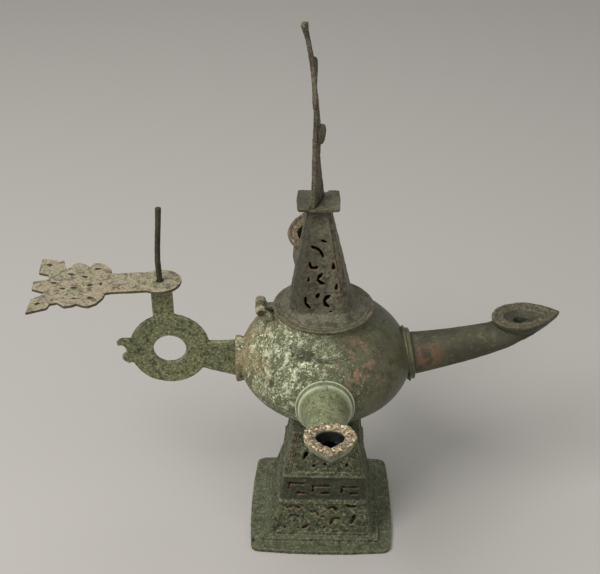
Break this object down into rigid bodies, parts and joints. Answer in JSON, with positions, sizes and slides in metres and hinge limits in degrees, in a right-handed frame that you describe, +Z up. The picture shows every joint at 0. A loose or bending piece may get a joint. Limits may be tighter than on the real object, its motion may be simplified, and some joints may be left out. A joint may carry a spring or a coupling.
{
  "type": "oil lamp",
  "caption": "Cast bronze oil lamp: a bowl with radiating wick nozzles on a pierced square stand, with a ring handle, a pierced thumb plate and a hinged lid with a pierced spire.",
  "frame": {"origin": "under the middle of the lamp's box, on the surface that the stand rests on", "axes": "+Z up, +X from the handle towards the nozzle opposite it, -Y towards the viewer of the picture"},
  "size_m": [0.281, 0.2333, 0.298],
  "materials": {
    "green_bronze": "dull olive green patina, pitted",
    "dark_bronze": "dark olive patina, slightly worn",
    "brown_bronze": "smooth grey-brown patina",
    "buff_bronze": "chalky buff and grey-green crust"
  },
  "bodies": {
    "lamp": {"pedestal": "dark_bronze", "lamp_body": "green_bronze", "handle": "green_bronze", "thumb_plate": "buff_bronze", "wire_pin": "dark_bronze", "hinge_pin": "dark_bronze"},
    "lid": {"lid": "brown_bronze", "finial": "dark_bronze"}
  },
  "joints": [
    {"name": "lid_hinge", "type": "hinge", "parent": "lamp", "child": "lid", "pos_m": [-0.0217, -0.0019, 0.143], "axis": [0, -1, 0], "range_deg": [0, 52]}
  ]
}
